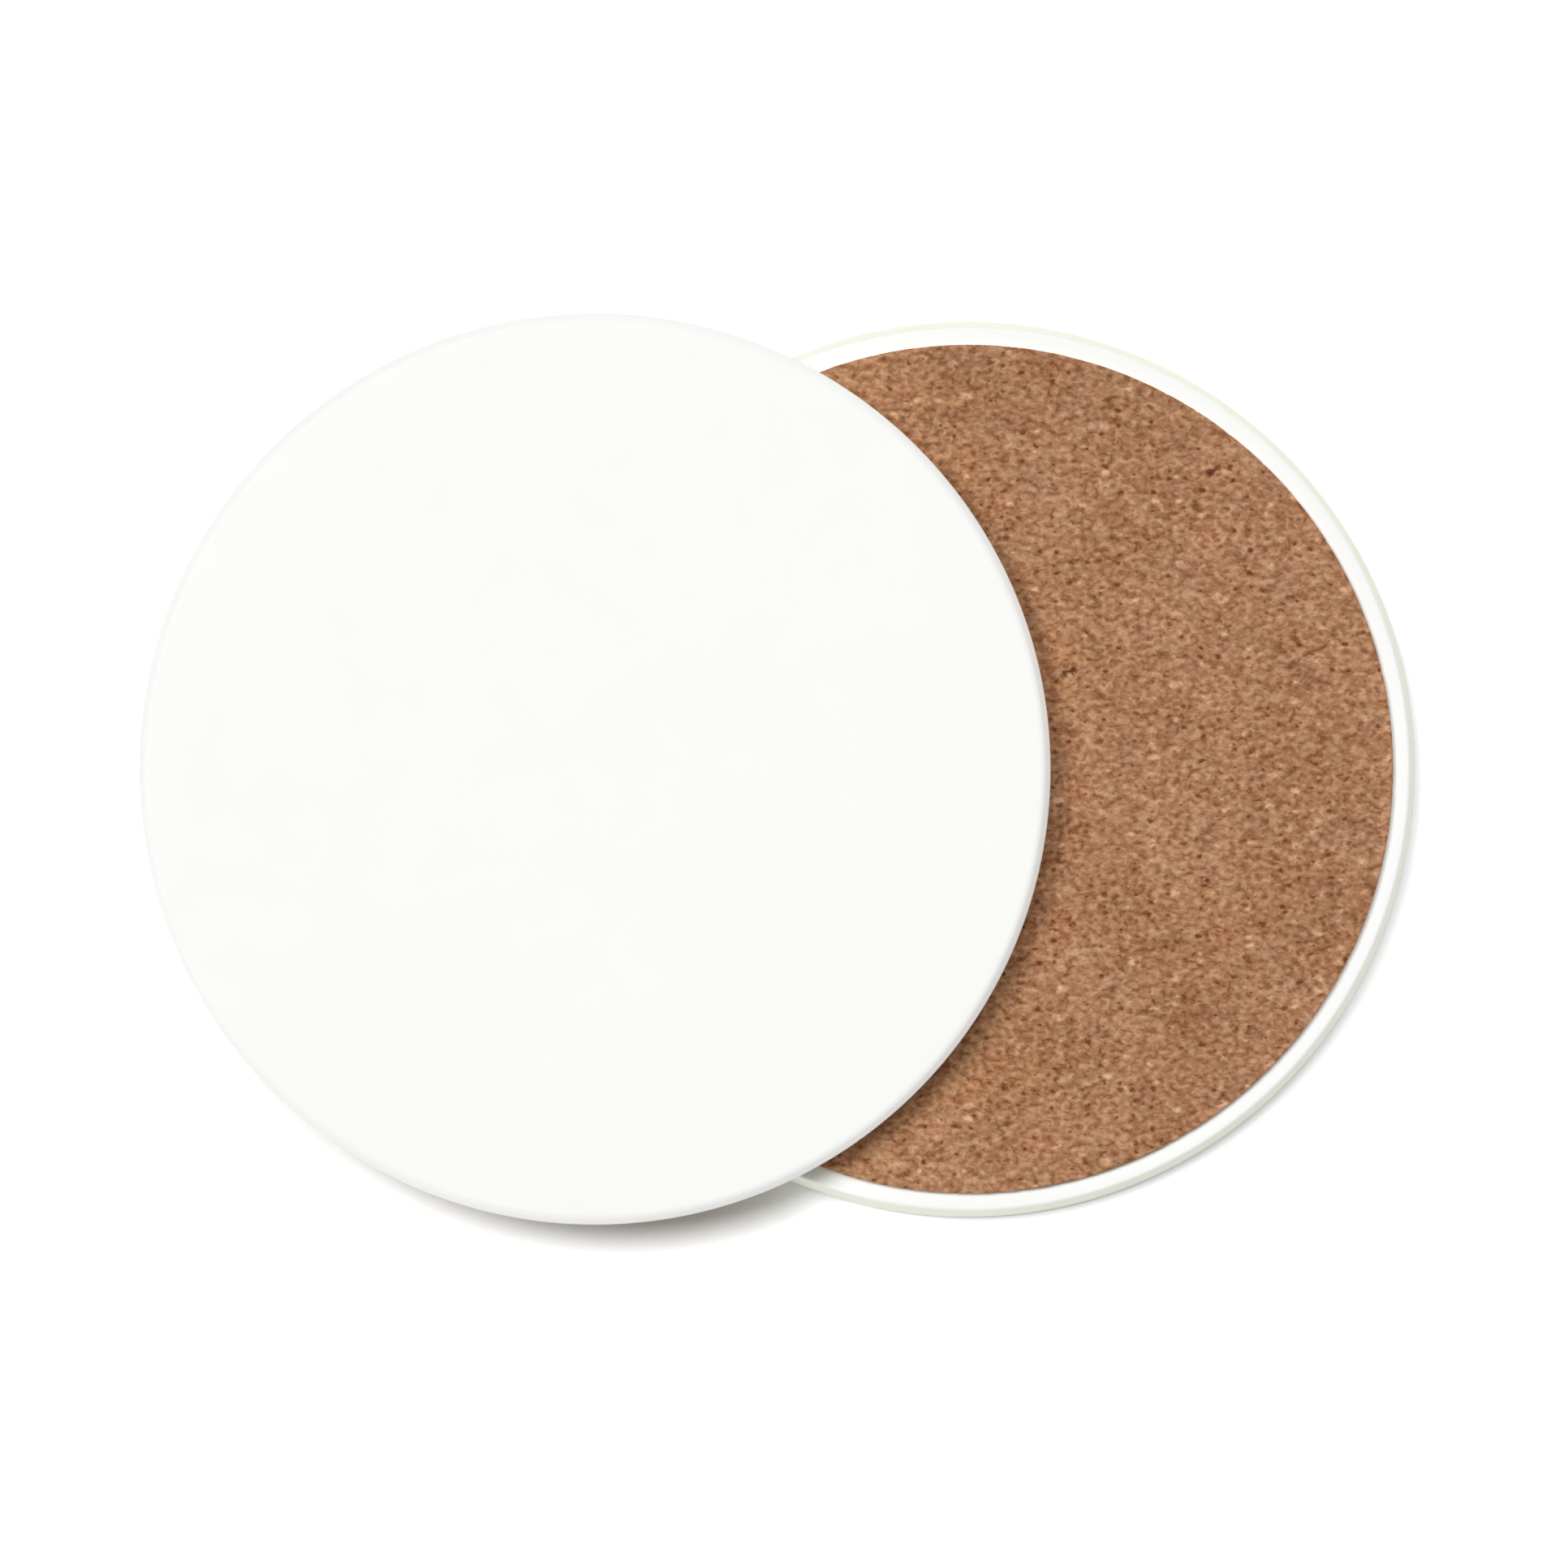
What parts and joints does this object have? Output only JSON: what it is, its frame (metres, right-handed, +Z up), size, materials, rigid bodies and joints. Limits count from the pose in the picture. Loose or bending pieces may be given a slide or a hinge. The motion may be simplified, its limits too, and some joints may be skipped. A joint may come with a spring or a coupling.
{
  "type": "cork-backed ceramic coaster pair",
  "caption": "Round white ceramic coasters with bonded cork pads, one lying cork up and the other face up across it, to stand a cup or glass on and keep a table dry.",
  "frame": {"origin": "on the table, midway between the axes of the two coasters", "axes": "+Z up out of the table, +X from the upper coaster towards the lower one, +Y across the pair"},
  "size_m": [0.1412, 0.1, 0.0144],
  "materials": {
    "ceramic": "satin",
    "adhesive": "satin",
    "cork": "matte"
  },
  "bodies": {
    "lower_coaster": {"lower_ceramic_disc": "ceramic", "lower_adhesive_film": "adhesive", "lower_cork_pad": "cork"},
    "upper_coaster": {"upper_ceramic_disc": "ceramic", "upper_adhesive_film": "adhesive", "upper_cork_pad": "cork"}
  },
  "joints": [
    {"name": "lift_off", "type": "slide", "parent": "lower_coaster", "child": "upper_coaster", "axis": [0, 0, 1], "range_m": [0, 0.05]}
  ]
}
